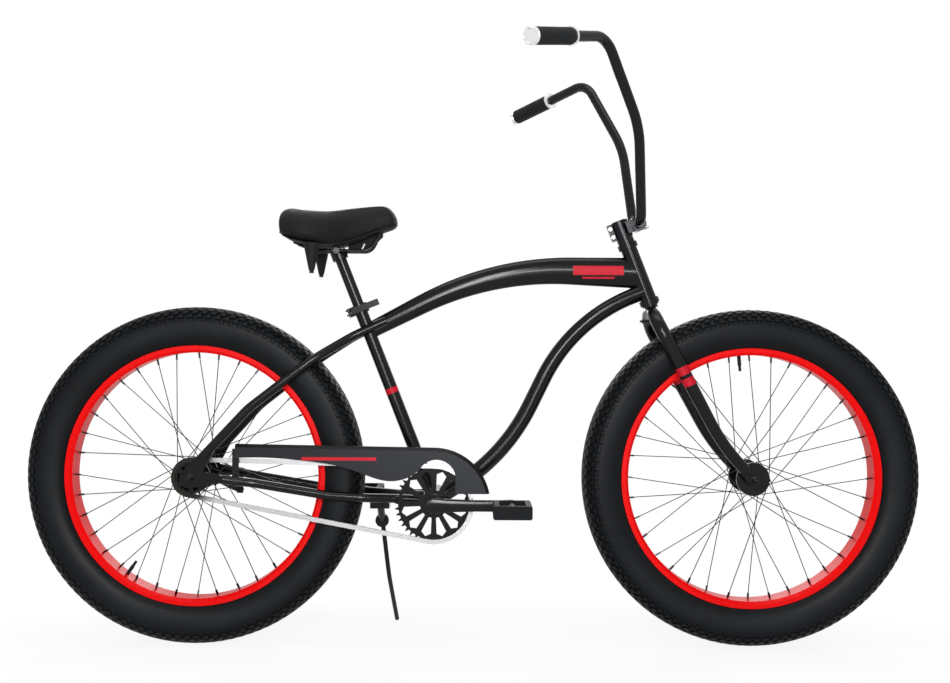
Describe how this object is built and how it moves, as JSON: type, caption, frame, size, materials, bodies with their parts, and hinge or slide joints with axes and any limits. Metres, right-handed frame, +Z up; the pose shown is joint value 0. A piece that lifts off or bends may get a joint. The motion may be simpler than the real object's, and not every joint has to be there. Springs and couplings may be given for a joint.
{
  "type": "beach cruiser bicycle",
  "caption": "Beach cruiser bicycle with fat tyres, red rims, a swept frame, a tall handlebar, a chain guard, a coaster brake and a kickstand.",
  "frame": {"origin": "on the ground half way between the wheels, in the mid-plane of the frame", "axes": "+X forward, +Y to the rider's left, +Z up; the chain is on the -Y side"},
  "size_m": [1.938, 0.8384, 1.2788],
  "materials": {
    "frame_paint": "gloss black paint",
    "light_tube_paint": "gloss black paint on light tube",
    "bar_paint": "gloss black",
    "black_alloy": "dark polished",
    "guard_paint": "satin black",
    "black_steel": "gloss black",
    "bright_steel": "bright zinc",
    "chrome": "polished",
    "tyre_rubber": "matte",
    "rim_paint": "bright red gloss paint",
    "spoke_steel": "black",
    "black_rubber": "matte",
    "black_plastic": "satin",
    "saddle_leather": "fine grain"
  },
  "bodies": {
    "frame": {"head_tube": "frame_paint", "seat_tube": "frame_paint", "top_tube": "frame_paint", "down_tube": "frame_paint", "rear_dropouts": "frame_paint", "chainstays": "light_tube_paint", "seatstays": "light_tube_paint", "bottom_bracket_shell": "frame_paint", "bottom_bracket_cups": "bright_steel", "headset_cups": "frame_paint", "chain": "bright_steel", "chain_guard": "guard_paint", "chain_guard_brackets": "guard_paint", "brake_arm": "frame_paint", "kickstand_mount": "frame_paint", "seat_clamp": "black_alloy", "rear_axle": "bright_steel", "rear_axle_nuts": "bright_steel"},
    "fork": {"steerer_tube": "bright_steel", "fork_legs": "light_tube_paint", "fork_dropouts": "frame_paint", "headset_bearings": "bright_steel", "headset_spacer": "black_alloy", "stem": "black_alloy", "stem_faceplate": "black_alloy", "stem_bolts": "bright_steel", "handlebar": "bar_paint", "grips": "black_rubber", "grip_trims": "chrome", "front_axle": "bright_steel", "front_axle_nuts": "bright_steel"},
    "front_wheel": {"front_tyre": "tyre_rubber", "front_rim": "rim_paint", "front_spokes": "spoke_steel", "front_nipples": "spoke_steel", "front_valve": "black_rubber", "front_hub": "black_steel", "front_hub_bearings": "bright_steel"},
    "rear_wheel": {"rear_tyre": "tyre_rubber", "rear_rim": "rim_paint", "rear_spokes": "spoke_steel", "rear_nipples": "spoke_steel", "rear_valve": "black_rubber", "rear_hub": "black_steel", "rear_hub_bearings": "bright_steel"},
    "driver": {"hub_driver": "bright_steel", "rear_sprocket": "bright_steel"},
    "crank": {"crank": "black_steel", "chainring": "black_steel", "crank_cones": "bright_steel", "pedal_spindles": "bright_steel"},
    "right_pedal": {"right_pedal": "black_plastic"},
    "left_pedal": {"left_pedal": "black_plastic"},
    "kickstand": {"kickstand_leg": "black_steel"},
    "seat": {"seat_post": "black_steel", "saddle_cover": "saddle_leather", "saddle_pan": "black_plastic", "saddle_rails": "black_steel", "saddle_bumpers": "black_rubber"},
    "clamp_lever": {"seat_clamp_lever": "black_alloy"}
  },
  "joints": [
    {"name": "steering", "type": "hinge", "parent": "frame", "child": "fork", "pos_m": [0.387, 0, 0.74], "axis": [-0.3665, 0, 0.9304], "range_deg": [-75, 75]},
    {"name": "front_wheel_spin", "type": "hinge", "parent": "fork", "child": "front_wheel", "pos_m": [0.603, 0, 0.366], "axis": [0, 1, 0], "continuous": true},
    {"name": "rear_wheel_spin", "type": "hinge", "parent": "frame", "child": "rear_wheel", "pos_m": [-0.603, 0, 0.366], "axis": [0, 1, 0], "continuous": true},
    {"name": "crank_spin", "type": "hinge", "parent": "frame", "child": "crank", "pos_m": [-0.084, 0, 0.312], "axis": [0, 1, 0], "continuous": true, "deforming": ["chain"]},
    {"name": "driver_spin", "type": "hinge", "parent": "frame", "child": "driver", "pos_m": [-0.603, 0, 0.366], "axis": [0, 1, 0], "continuous": true},
    {"name": "right_pedal_spin", "type": "hinge", "parent": "crank", "child": "right_pedal", "pos_m": [0.081, -0.14, 0.312], "axis": [0, 1, 0], "continuous": true},
    {"name": "left_pedal_spin", "type": "hinge", "parent": "crank", "child": "left_pedal", "pos_m": [-0.249, 0.14, 0.312], "axis": [0, 1, 0], "continuous": true},
    {"name": "kickstand_swing", "type": "hinge", "parent": "frame", "child": "kickstand", "pos_m": [-0.203, 0.058, 0.262], "axis": [-0.0499, 0.9979, 0.0419], "range_deg": [0, 92]},
    {"name": "seat_post_slide", "type": "slide", "parent": "frame", "child": "seat", "axis": [-0.3681, 0, 0.9298], "range_m": [-0.08, 0.04]},
    {"name": "clamp_lever_swing", "type": "hinge", "parent": "frame", "child": "clamp_lever", "pos_m": [-0.27095, -0.025, 0.72089], "axis": [0.3681, 0, -0.9298], "range_deg": [0, 150]}
  ],
  "couplings": [
    {"joint": "driver_spin", "follows": "crank_spin", "ratio": 2.1053}
  ]
}
